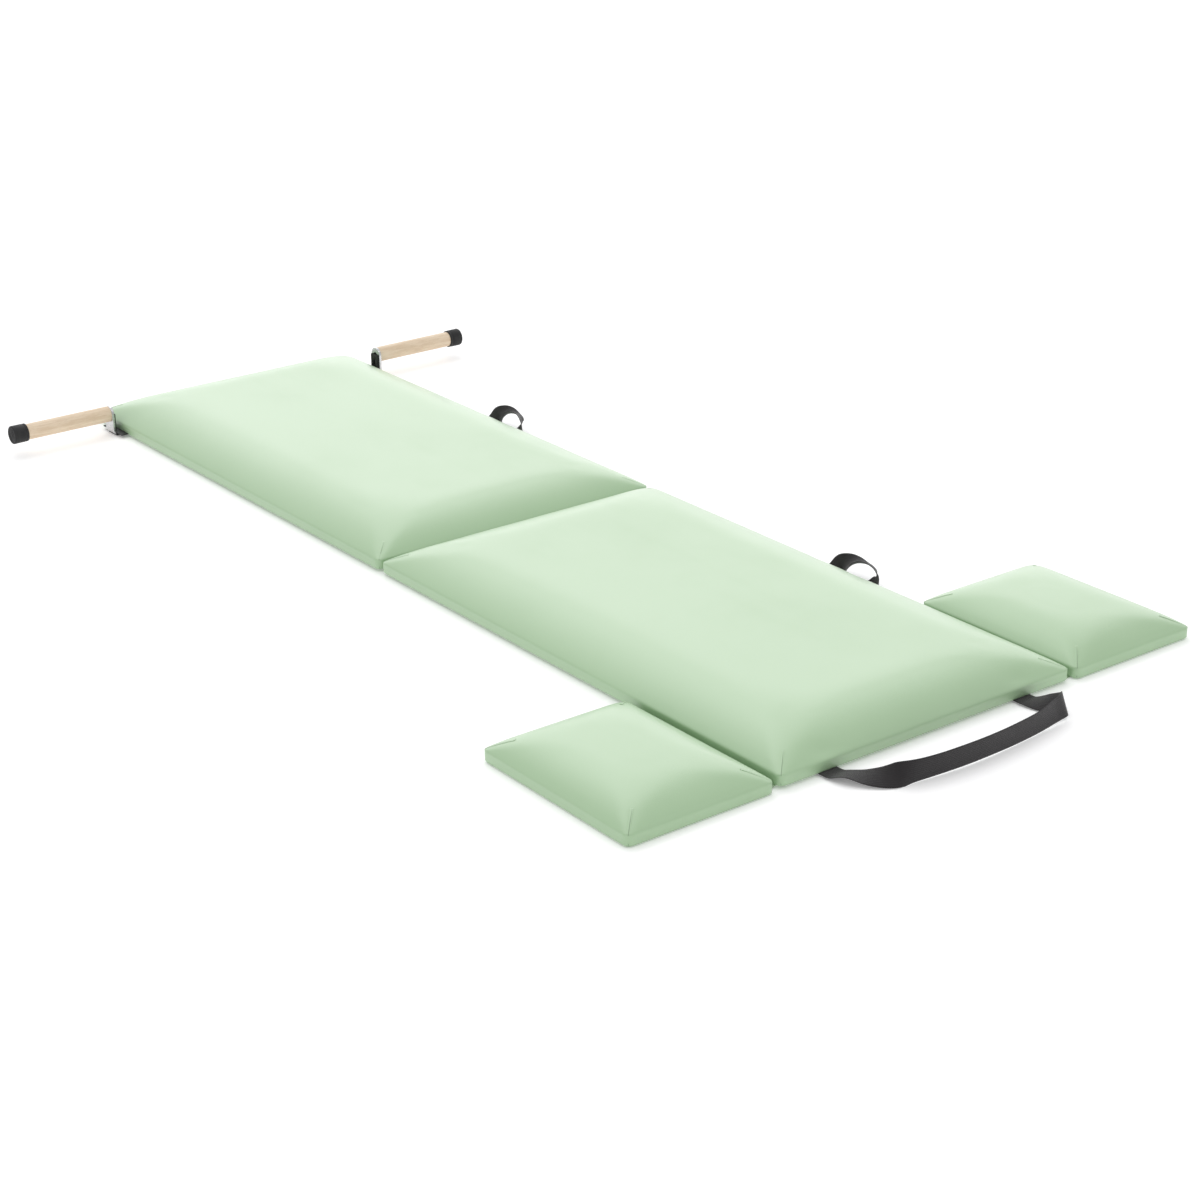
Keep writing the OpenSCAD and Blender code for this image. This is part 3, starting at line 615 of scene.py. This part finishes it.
# Routes of the webbing in millimetres: x, y and z of its middle, then the direction across it. The foot
# strap's y counts outwards from the foot end; a loop's x from the mat's side and y from the loop's middle.
webRows = {
    "foot_strap": [
        [-209, 17, 4.6, 0.98, -0.15, 0], [-203, 36, 10.5, 0.87, -0.48, -0.1],
        [-189, 59, 10.5, 0.72, -0.65, 0.2], [-170, 82, 13.5, 0.7, -0.35, 0.6],
        [-144, 99, 19.2, 0.37, 0.02, 0.93],
        [-98, 107, 20, 0, 0.1, 1], [-43, 111, 20.5, 0, 0.1, 1], [13, 111, 20.5, 0, 0.1, 1],
        [70, 107, 20, 0, 0.06, 1], [127, 100, 20, 0, 0, 1], [173, 91, 22, -0.1, -0.17, 0.98],
        [202, 84, 22.5, -0.15, -0.28, 0.94], [207, 63, 15, 0.6, -0.4, 0.68], [201, 39, 9.5, 0.85, -0.4, 0.34],
        [198, 16, 4.8, 1, -0.05, 0.05]],
    "head_carry_loop": [
        [11, 46, 5, 0, 1, 0.05], [20, 45, 12, 0.05, 0.98, 0.2], [25, 38, 20, 0.1, 0.8, 0.6],
        [26, 24, 27, 0.4, 0.45, 0.75], [26, 8, 33, 0.8, 0.2, 0.45], [26, -10, 38, 0.97, 0.05, -0.2],
        [26, -26, 40, 0.85, 0.1, -0.5], [25, -39, 36, 0.7, 0.55, -0.45], [23, -46, 26, 0.6, 0.78, -0.2],
        [18, -47, 13, 0.35, 0.93, 0], [10, -46, 5, 0, 1, 0]],
    "foot_carry_loop": [
        [11, 46, 5, 0, 1, 0.05], [20, 46, 11, 0.05, 0.98, 0.2], [25, 41, 17.5, 0.1, 0.85, 0.5],
        [26, 28, 23.5, 0.45, 0.5, 0.65], [26, 11, 30, 0.85, 0.25, 0.3], [26, -8, 36, 0.97, 0.05, -0.25],
        [26, -26, 39, 0.85, 0.1, -0.5], [26, -42, 35, 0.7, 0.55, -0.45], [25, -51, 25, 0.6, 0.78, -0.2],
        [19, -50, 13, 0.35, 0.93, 0], [10, -47, 5, 0, 1, 0]],
}
webTails = {"height": 3.7, "strapOut": (4, -6, -34, -68), "loopOut": (3, -4, -34, -68)}
strapRoots = (-0.210, 0.198)
loopHalf = 0.046
loopMiddle = {"head_carry_loop": foldY + 0.497, "foot_carry_loop": foldY - 0.548}


# The flat clamped end of a route, from the edge inwards: at x on the foot strap, or at y on a loop.
def strapTail(x):
    return [[x * 1000, out, webTails["height"], 1, 0, 0] for out in webTails["strapOut"]]


def loopTail(y):
    return [[out, y * 1000, webTails["height"], 0, 1, 0] for out in webTails["loopOut"]]


# The two places where a loop comes out from under the mat's side.
def loopRoots(name):
    return [(sideX, loopMiddle[name] + loopHalf), (sideX, loopMiddle[name] - loopHalf)]


makeCover("footPanelCover", "foot", cover["panelSlope"], "foot_panel",
          [(x, footEnd) for x in strapRoots] + loopRoots("foot_carry_loop"))
makeCover("headPanelCover", "head", cover["panelSlope"], "head_panel", loopRoots("head_carry_loop"))
makeCover("leftWingCover", "left_wing", cover["wingSlope"], "left_wing")
makeCover("rightWingCover", "right_wing", cover["wingSlope"], "right_wing")
print("covers made")


pleat = {"width": 0.0052, "lift": 0.0005, "reach": 0.027, "foot": 0.0012, "bandShare": 0.36,
         "thickness": 0.0006, "steps": 40, "across": 13}


# One overlapping fold of vinyl at each corner: a strip up the band's corner and in along the crown's
# diagonal. Its height across is a slow rise and a sudden drop, and it fades out towards the top. A band
# just past the drop carries painted shade.
def makePleats(name, side, slope, body):
    low, high = (np.array(corner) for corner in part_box(side + "_cover"))
    half, r, bandH = (high - low)[:2] / 2, cover["cornerRadius"], cover["bandHeight"]
    crown = high[2] - low[2] - bandH
    t = np.linspace(0, 1, pleat["steps"])
    s = np.linspace(-1, 1, pleat["across"])
    upBand = t / pleat["bandShare"]
    inward = np.clip((t - pleat["bandShare"]) / (1 - pleat["bandShare"]), 0, 1) * pleat["reach"]
    z = np.where(upBand < 1, pleat["foot"] + (bandH - pleat["foot"]) * upBand,
                 bandH + crown * (1 - (1 - inward / slope) ** cover["power"]))
    radius = r + cover["growth"] * inward
    fade = np.clip((1 - t) / 0.35, 0, 1) ** 0.7 * np.clip(t / 0.05, 0.3, 1)
    lip = np.where(s < 0.12, ((s + 1) / 1.12) ** 2, 0.0) - 0.35 * (abs(s) > 0.9)
    # Painted shade: the band just past the lip's drop is darkened, standing in for the lip's shadow on the fold's
    # wall.
    shade = np.where((s >= 0.05) & (s < 0.4), 1.0, 0.0)
    allPoints, allFaces, shades = [], [], []
    for order, (sx, sy) in enumerate([(-1, -1), (1, -1), (1, 1), (-1, 1)]):
        outward = np.array([sx, sy, 0]) / math.sqrt(2)
        across = np.array([-sy, sx, 0]) / math.sqrt(2)
        tip = np.stack([(half[0] - inward - radius) * sx, (half[1] - inward - radius) * sy, z], -1)
        tip += outward * radius[:, None]
        along = np.gradient(tip, axis=0)
        normal = np.cross(across, along)
        normal /= np.linalg.norm(normal, axis=1)[:, None]
        normal *= np.sign(normal @ (outward + np.array([0, 0, 0.5])))[:, None]
        bow = (pleat["width"] * s) ** 2 / 8 / radius[:, None]
        lift = pleat["lift"] * lip[None, :] * fade[:, None]
        place = tip[:, None, :] + across * (s * pleat["width"] / 2)[None, :, None]
        place = place - outward * bow[:, :, None] + normal[:, None, :] * lift[:, :, None]
        place += np.array([(low[0] + high[0]) / 2, (low[1] + high[1]) / 2, low[2]])
        first = order * pleat["steps"] * pleat["across"]
        allPoints.append(place.reshape(-1, 3))
        allFaces += (np.array(gridQuads(pleat["steps"], pleat["across"])) + first).tolist()
        shades.append((shade[None, :] * fade[:, None]).ravel())
    piece = meshPiece(name, np.concatenate(allPoints), allFaces)
    attribute = piece.data.attributes.new("pleat", "FLOAT", "POINT")
    attribute.data.foreach_set("value", np.concatenate(shades).astype(np.float32))
    thicken(piece, pleat["thickness"], -1)
    dress(piece, "vinyl")
    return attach(piece, body)


makePleats("footPanelPleats", "foot", cover["panelSlope"], "foot_panel")
makePleats("headPanelPleats", "head", cover["panelSlope"], "head_panel")
makePleats("leftWingPleats", "left_wing", cover["wingSlope"], "left_wing")
makePleats("rightWingPleats", "right_wing", cover["wingSlope"], "right_wing")
print("corner folds made")


web = {"width": 0.038, "thickness": 0.0016, "edge": 14, "ribs": 12, "ribHeight": 0.00012, "across": 49,
       "strapSteps": 260, "loopSteps": 200, "bendReach": 0.016}


# Rows joined by a smooth curve through every row (a Catmull-Rom spline), in equal steps of its parameter.
def smoothRows(rows, steps):
    padded = np.vstack([rows[:1], rows, rows[-1:]])
    t = np.linspace(0, len(rows) - 1 - 1e-6, steps)
    i = np.floor(t).astype(int)
    s = (t - i)[:, None]
    a, b, c, d = (padded[i + k] for k in range(4))
    square, cube = 2 * a - 5 * b + 4 * c - d, 3 * b - a - 3 * c + d
    return 0.5 * (2 * b + (c - a) * s + square * s ** 2 + cube * s ** 3)


# Webbing carried along its rows: the cross-section is a flat oval with raised warp ribs, set across the
# strip. Its "strip" map holds the distance across and along the webbing, in metres.
def webbingStrip(name, rows, steps):
    sampled = smoothRows(rows, steps)
    centre, across = sampled[:, :3], sampled[:, 3:]
    along = np.gradient(centre, axis=0)
    along /= np.linalg.norm(along, axis=1)[:, None]
    across = across - (across * along).sum(1)[:, None] * along
    across /= np.linalg.norm(across, axis=1)[:, None]
    face = np.cross(along, across)
    s = np.linspace(-1, 1, web["across"])
    ribs = web["ribHeight"] * np.cos(s * web["ribs"] * math.pi)
    half = (web["thickness"] / 2 - web["ribHeight"] + ribs) * (1 - abs(s) ** web["edge"]) ** 0.5 + 0.0001
    offset = np.concatenate([s, s[::-1]]) * web["width"] / 2
    height = np.concatenate([half, -half[::-1]])
    loops = centre[:, None] + across[:, None] * offset[None, :, None] + face[:, None] * height[None, :, None]
    piece = loopedPiece(name, loops)
    length = np.concatenate([[0], np.cumsum(np.linalg.norm(np.diff(centre, axis=0), axis=1))])
    strip = np.stack(np.broadcast_arrays(offset[None, :], length[:, None]), -1).reshape(-1, 2)
    corners = np.zeros(len(piece.data.loops), int)
    piece.data.loops.foreach_get("vertex_index", corners)
    piece.data.uv_layers.new(name="strip").data.foreach_set("uv", strip[corners].astype(np.float32).ravel())
    print("  ", name, "is", round(float(length[-1]) * 1000), "mm long")
    return dress(piece, "webbing")


footRows = np.array(strapTail(strapRoots[0])[::-1] + webRows["foot_strap"] + strapTail(strapRoots[1]), float)
footRows[:, :3] /= 1000
footRows[:, 1] = footEnd - footRows[:, 1]
footRows[:, 4] *= -1
strap = webbingStrip("footStrap", footRows, web["strapSteps"])
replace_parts(strap, "foot_strap", "foot_strap_tails")
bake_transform(strap)

for pieceName, loopName, panelBody, tailNode in (
        ("headCarryLoop", "head_carry_loop", "head_panel", "head_loop_tails"),
        ("footCarryLoop", "foot_carry_loop", "foot_panel", "foot_loop_tails")):
    rows = np.array(loopTail(loopHalf)[::-1] + webRows[loopName] + loopTail(-loopHalf), float)
    rows[:, :3] /= 1000
    rows[:, 0] += sideX
    rows[:, 1] += loopMiddle[loopName]
    loop = webbingStrip(pieceName, rows, web["loopSteps"])
    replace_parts(loop, loopName, tailNode)
    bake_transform(loop)
print("webbing made")


flap = {"thickness": 0.0008, "skin": 0.0006, "reach": 0.04, "wingReach": 0.052,
        "foldBend": 0.004, "wingBend": 0.003}


# One strip of vinyl across a hinge: the path across the hinge, carried straight between two end offsets.
def flapStrip(name, path, ends, replaced):
    path, (first, last) = np.array(path, float), np.array(ends, float)
    across = np.linspace(0, 1, 33)[None, :, None]
    points = path[:, None] + first * (1 - across) + last * across
    piece = meshPiece(name, points.reshape(-1, 3), gridQuads(len(path), 33))
    thicken(piece, flap["skin"], 0)
    dress(piece, "vinyl")
    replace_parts(piece, *replaced)
    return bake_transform(piece)


flapLow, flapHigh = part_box("fold_flap_foot_half")
foldZ = flapLow.z + flap["thickness"] / 2
foldPath = [(0, foldY + y, foldZ) for y in np.linspace(-flap["reach"], flap["reach"], 33)]
flapStrip("foldFlap", foldPath, ((flapLow.x, 0, 0), (flapHigh.x, 0, 0)),
          ("fold_flap_foot_half", "fold_flap_head_half"))

for side, sign in (("left", -1), ("right", 1)):
    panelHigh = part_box(side + "_flap_panel_half")[1]
    wingLow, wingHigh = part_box(side + "_flap_wing_half")
    hinge = joints[side + "_wing_fold"]["pos_m"]
    x = np.linspace(sideX - flap["reach"], sideX + flap["wingReach"], 47)
    topZ, lowZ = panelHigh.z - flap["thickness"] / 2, wingHigh.z - flap["thickness"] / 2
    z = np.interp(x, [sideX + 0.001, abs(hinge[0])], [topZ, lowZ])
    path = np.stack([sign * x, 0 * x, z], -1)
    flapStrip(side + "WingFlap", path, ((0, wingLow.y, 0), (0, wingHigh.y, 0)),
              (side + "_flap_panel_half", side + "_flap_wing_half"))
print("flaps made")


bracket = {"width": 0.032, "thickness": 0.005, "bendRadius": 0.007, "edge": 0.0005, "tip": 0.0008}


# Bent steel bar: a sheet along the leg, round the bend and up to a half-round top, thickened afterwards.
def makeBracket(side, sign, axisY, axisZ):
    low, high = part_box(side + "_handle_bracket")
    inner, outer = min(abs(low.x), abs(high.x)), max(abs(low.x), abs(high.x))
    t, half, bend = bracket["thickness"], bracket["width"] / 2, bracket["bendRadius"]
    faceX, legZ = outer - t / 2, low.z + t / 2
    angle = np.linspace(0, math.pi / 2, 9)
    rise = np.linspace(0, math.pi / 2, 15)[1:]
    legX = np.linspace(inner, faceX - bend, 12)
    bendX = faceX - bend + bend * np.sin(angle)
    bendZ = legZ + bend - bend * np.cos(angle)
    postZ = np.linspace(legZ + bend, axisZ, 9)[1:]
    topZ = axisZ + half * np.sin(rise)
    x = np.concatenate([legX, bendX[1:], np.full(len(postZ) + len(topZ), faceX)])
    z = np.concatenate([np.full(len(legX), legZ), bendZ[1:], postZ, topZ])
    topWidth = np.maximum(half * np.cos(rise), bracket["tip"])
    width = np.concatenate([np.full(len(x) - len(topZ), half), topWidth])
    s = np.linspace(-1, 1, 9)
    points = np.stack([sign * x[:, None] + 0 * s, axisY + width[:, None] * s, z[:, None] + 0 * s], -1)
    piece = meshPiece(side + "Bracket", points.reshape(-1, 3), gridQuads(len(x), len(s)))
    thicken(piece, t, 0)
    softenEdges(piece, bracket["edge"])
    dress(piece, "bracket_steel")
    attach(piece, side + "_handle")
    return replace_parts(piece, side + "_handle_bracket")


bumper = {"spokes": 96, "squareness": 0.22, "fill": 0.35, "edge": 0.02}


# Rubber pad on the bracket's inner face: rounded rectangles from one face to the other, with a dished front.
# Each (depth, size) step is a share of the half thickness and how near the full outline the step comes.
def makeBumper(side, sign):
    low, high = (np.array(corner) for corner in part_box(side + "_handle_bumper"))
    centre, half = (low + high) / 2, (high - low) / 2
    angle = np.linspace(0, 2 * math.pi, bumper["spokes"], endpoint=False)
    c, s = np.cos(angle), np.sin(angle)
    squareness = bumper["squareness"]
    ring = np.stack([np.sign(c) * abs(c) ** squareness, np.sign(s) * abs(s) ** squareness], -1)
    ring /= np.maximum(abs(ring).max(1), 1e-9)[:, None] ** bumper["fill"]
    ring = np.clip(ring, -1, 1)
    loops = []
    for depth, size in ((-1.0, 0.97), (-0.7, 1.0), (0.4, 1.0), (0.8, 0.985), (1.0, 0.93), (1.0, 0.80),
                        (0.82, 0.76), (0.82, 0.2)):
        outline = centre[1:] + ring * (half[1:] - (1 - size) * bumper["edge"])
        loops.append(np.column_stack([np.full(len(ring), centre[0] - sign * depth * half[0]), outline]))
    piece = loopedPiece(side + "Bumper", np.array(loops))
    dress(piece, "rubber")
    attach(piece, side + "_handle")
    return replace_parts(piece, side + "_handle_bumper")


# The two ends of a node's box along X: the one nearer the mat first.
def innerAndOuter(low, high, sign):
    return (low.x, high.x) if sign > 0 else (high.x, low.x)


dowel = {"rounding": 0.0012, "closedRadius": 0.0005}


# Turned dowel, its inner edge rounded over; its outer end is inside the cap.
def makeDowel(side, sign, axisY, axisZ):
    low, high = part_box(side + "_dowel")
    radius = (high.z - low.z) / 2
    root, tip = innerAndOuter(low, high, sign)
    rounding, closed = dowel["rounding"], dowel["closedRadius"]
    profile = [(root, closed), (root, radius - rounding),
               (root + sign * rounding * 0.3, radius - rounding * 0.3), (root + sign * rounding, radius)]
    profile += [(x, radius) for x in np.linspace(root, tip, 14)[1:-1]]
    profile += [(tip, radius), (tip, closed)]
    piece = turnedPiece(side + "Dowel", profile, axisY, axisZ)
    dress(piece, "maple")
    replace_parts(piece, side + "_dowel")
    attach(piece, side + "_handle")
    return radius


cap = {"groove": 0.0006, "rounding": 0.0025, "play": 0.0002, "rings": (0.0135, 0.0105, 0.0075, 0.0045),
       "ringHalf": 0.0007, "ringFloor": 0.0004}


# Rubber cap: a rolled lip and one groove near its mouth, a rounded end, and four grooves in its end face.
def makeCap(side, sign, axisY, axisZ, dowelRadius):
    low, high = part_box(side + "_dowel_cap")
    radius = (high.z - low.z) / 2
    mouth, end = innerAndOuter(low, high, sign)
    lip = [(0, 0.0013), (0.0003, 0.0006), (0.001, 0.0003), (0.0045, 0.0003), (0.0052, 0.0009),
           (0.0062, 0.0009), (0.0069, 0.0002)]
    profile = [(mouth, dowelRadius + cap["play"])]
    profile += [(mouth + sign * along, radius - inset) for along, inset in lip]
    b = cap["rounding"]
    profile += [(end - sign * (b - b * math.sin(turn)), radius - b + b * math.cos(turn))
                for turn in np.linspace(0, math.pi / 2, 6)]
    floor = end - sign * cap["groove"]
    for ring in cap["rings"]:
        profile += [(end, ring + cap["ringHalf"]), (floor, ring + cap["ringFloor"]),
                    (floor, ring - cap["ringFloor"]), (end, ring - cap["ringHalf"])]
    profile += [(end, dowel["closedRadius"])]
    piece = turnedPiece(side + "DowelCap", profile, axisY, axisZ)
    dress(piece, "rubber")
    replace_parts(piece, side + "_dowel_cap")
    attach(piece, side + "_handle")


def makeHandle(side, sign):
    low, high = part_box(side + "_dowel")
    axisY, axisZ = (low.y + high.y) / 2, (low.z + high.z) / 2
    dowelRadius = makeDowel(side, sign, axisY, axisZ)
    makeCap(side, sign, axisY, axisZ, dowelRadius)
    makeBracket(side, sign, axisY, axisZ)
    makeBumper(side, sign)


makeHandle("left", -1)
makeHandle("right", 1)
print("handles made")


# The frame's own pieces that still show keep their meshes and take the finish of their slot.
slotOf = {part["node"]: part["material_slot"] for part in frame["record"]["subparts"]}
for nodeName, nodeObject in frame["nodes"].items():
    if not nodeObject.hide_render:
        nodeObject.data.materials.clear()
        nodeObject.data.materials.append(finishes[slotOf[nodeName]])
print("frame pieces finished")


studio = {"floorSize": 60.0, "floorTone": (0.97, 0.97, 0.975, 1), "floorTint": (0.965, 0.965, 0.97, 1),
          "floorGlow": 0.16, "skyAround": 0.76, "skyBehind": 1.85, "brightSide": (0.557, 0.734, 0.387),
          "keyPower": 45.0, "fillPower": 12.0}


# Pale matt floor just under the mat's feet, with a faint glow that keeps it white to the edges.
def makeFloor():
    half, z = studio["floorSize"] / 2, cadLow.z - 0.0002
    corners = np.array([[-half, -half, z], [half, -half, z], [half, half, z], [-half, half, z]])
    floor = meshPiece("floor", corners, [[0, 1, 2, 3]], smooth=False)
    material, tree, shader, place = newMaterial("studioFloor", Specular_IOR_Level=0.0,
                                                Emission_Color=(1.0, 1.0, 1.0, 1),
                                                Emission_Strength=studio["floorGlow"])
    tint = noise(tree, place, 1.5, 2.0)
    wire(tree, shader.inputs["Base Color"], mixed(tree, tint, studio["floorTone"], studio["floorTint"]))
    wire(tree, shader.inputs["Roughness"], ramped(tree, tint, 0.0, 1.0, 0.88, 0.92))
    floor.data.materials.append(material)


# Pale, even sky with a brighter patch low behind the mat, where the vinyl mirrors it towards the viewer.
def makeSky():
    world = bpy.data.worlds.new("studioSky")
    scene.world = world
    world.use_nodes = True
    tree = world.node_tree
    direction = node(tree, "ShaderNodeTexCoord").outputs["Generated"]
    lean = node(tree, "ShaderNodeVectorMath", {0: direction, 1: studio["brightSide"]},
                operation="DOT_PRODUCT").outputs["Value"]
    strength = ramped(tree, lean, 0.66, 0.97, studio["skyAround"], studio["skyBehind"])
    background = tree.nodes["Background"]
    wire(tree, background.inputs["Strength"], strength)
    background.inputs["Color"].default_value = (1.0, 1.0, 1.0, 1)


# Puts a lamp or a camera at a place, its right, up and back along the given directions.
def aimed(thing, place, right, up, back):
    turned = Matrix([[right[k], up[k], back[k]] for k in range(3)]).to_4x4()
    thing.matrix_world = Matrix.Translation(place) @ turned
    scene.collection.objects.link(thing)


def areaLight(name, place, target, size, power):
    light = bpy.data.lights.new(name, "AREA")
    light.shape = "RECTANGLE"
    light.size, light.size_y = size
    light.energy = power
    back = np.array(place, float) - np.array(target, float)
    back /= np.linalg.norm(back)
    right = np.cross([0, 0, 1.0], back)
    right /= np.linalg.norm(right)
    aimed(bpy.data.objects.new(name, light), place, right, np.cross(back, right), back)


# The camera stands to the left of the foot end and looks along the mat towards the far handle. Its angles
# are in degrees.
view = {"place": (-2.478, -3.503 + foldY, 1.6685), "azimuth": -37.22, "elevation": 22.77, "roll": -0.51,
        "lens": 75.2}


def makeCamera():
    azimuth, elevation, roll = (math.radians(view[key]) for key in ("azimuth", "elevation", "roll"))
    back = np.array([math.sin(azimuth) * math.cos(elevation), -math.cos(azimuth) * math.cos(elevation),
                     math.sin(elevation)])
    level = np.array([math.cos(azimuth), math.sin(azimuth), 0.0])
    rise = np.cross(back, level)
    right = level * math.cos(roll) + rise * math.sin(roll)
    up = rise * math.cos(roll) - level * math.sin(roll)
    lens = bpy.data.cameras.new("studioCamera")
    lens.lens = view["lens"]
    lens.sensor_width = 36
    lens.clip_end = 200
    camera = bpy.data.objects.new("studioCamera", lens)
    aimed(camera, view["place"], right, up, back)
    scene.camera = camera


makeFloor()
makeSky()
areaLight("softboxBehind", (0.5, 3.0, 5.5), (0.0, 0.0, 0.0), (4.0, 3.0), studio["keyPower"])
areaLight("softboxAbove", (-0.6, -0.6, 3.4), (0.0, -0.2, 0.0), (3.0, 3.0), studio["fillPower"])
makeCamera()
scene.view_settings.view_transform = "Standard"
print("stage ready")
